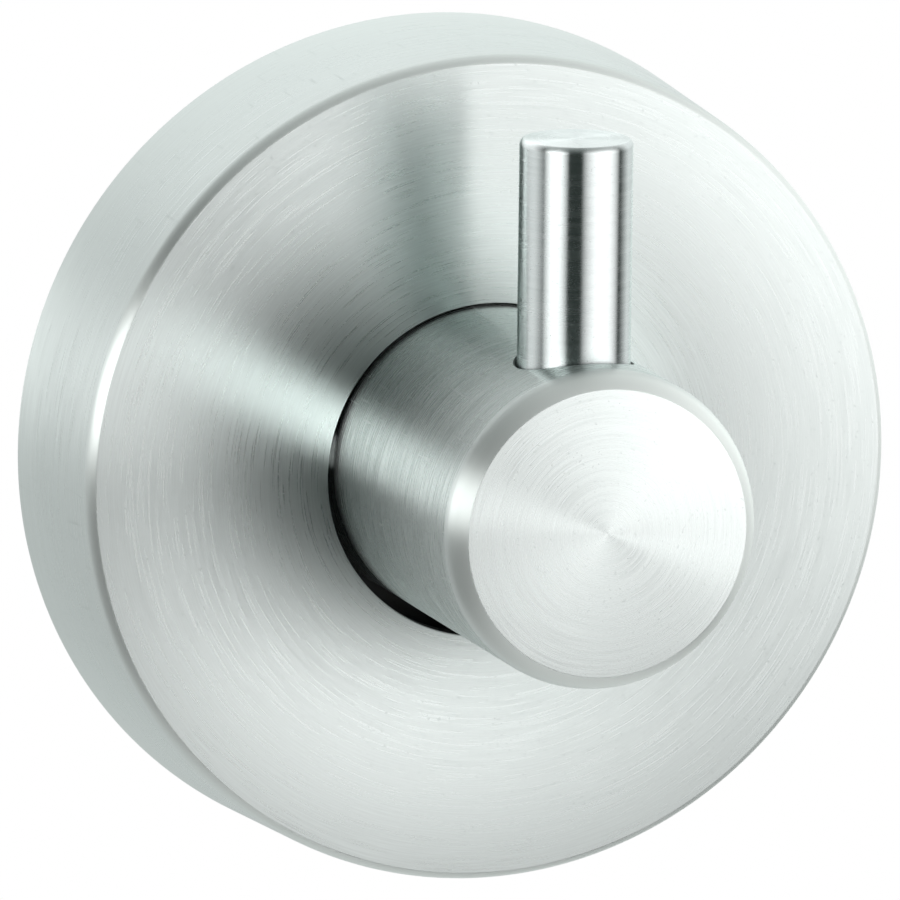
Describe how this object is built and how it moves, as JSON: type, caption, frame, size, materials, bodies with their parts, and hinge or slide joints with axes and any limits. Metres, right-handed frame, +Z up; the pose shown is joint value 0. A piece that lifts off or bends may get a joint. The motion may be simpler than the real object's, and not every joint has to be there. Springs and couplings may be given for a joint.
{
  "type": "coat hook",
  "caption": "Round wall hook in satin stainless steel: a short thick post with an upright polished pin, standing out of a cup-shaped cover that hides its wall plate.",
  "frame": {"origin": "on the wall, on the post's axis, midway between the two wall screws", "axes": "+Y points into the wall, so the hook stands out towards -Y; +Z is up, along the pin; +X is to the right seen from the front"},
  "size_m": [0.0534, 0.0362, 0.0535],
  "materials": {
    "satin_cover": "satin, brushed in circles",
    "satin_post": "satin, brushed in circles",
    "polished_pin": "polished stainless steel",
    "pressed_plate": "plain pressed stainless sheet",
    "turned_stud": "turned stainless steel",
    "screw_steel": "stainless set screw"
  },
  "bodies": {
    "hook": {"wall_plate": "pressed_plate", "mounting_stud": "turned_stud", "hook_post": "satin_post", "hook_pin": "polished_pin", "set_screw": "screw_steel"},
    "sliding_cover": {"cover_rosette": "satin_cover"}
  },
  "joints": [
    {"name": "cover_slide", "type": "slide", "parent": "hook", "child": "sliding_cover", "axis": [0, -1, 0], "range_m": [0, 0.0122]}
  ]
}
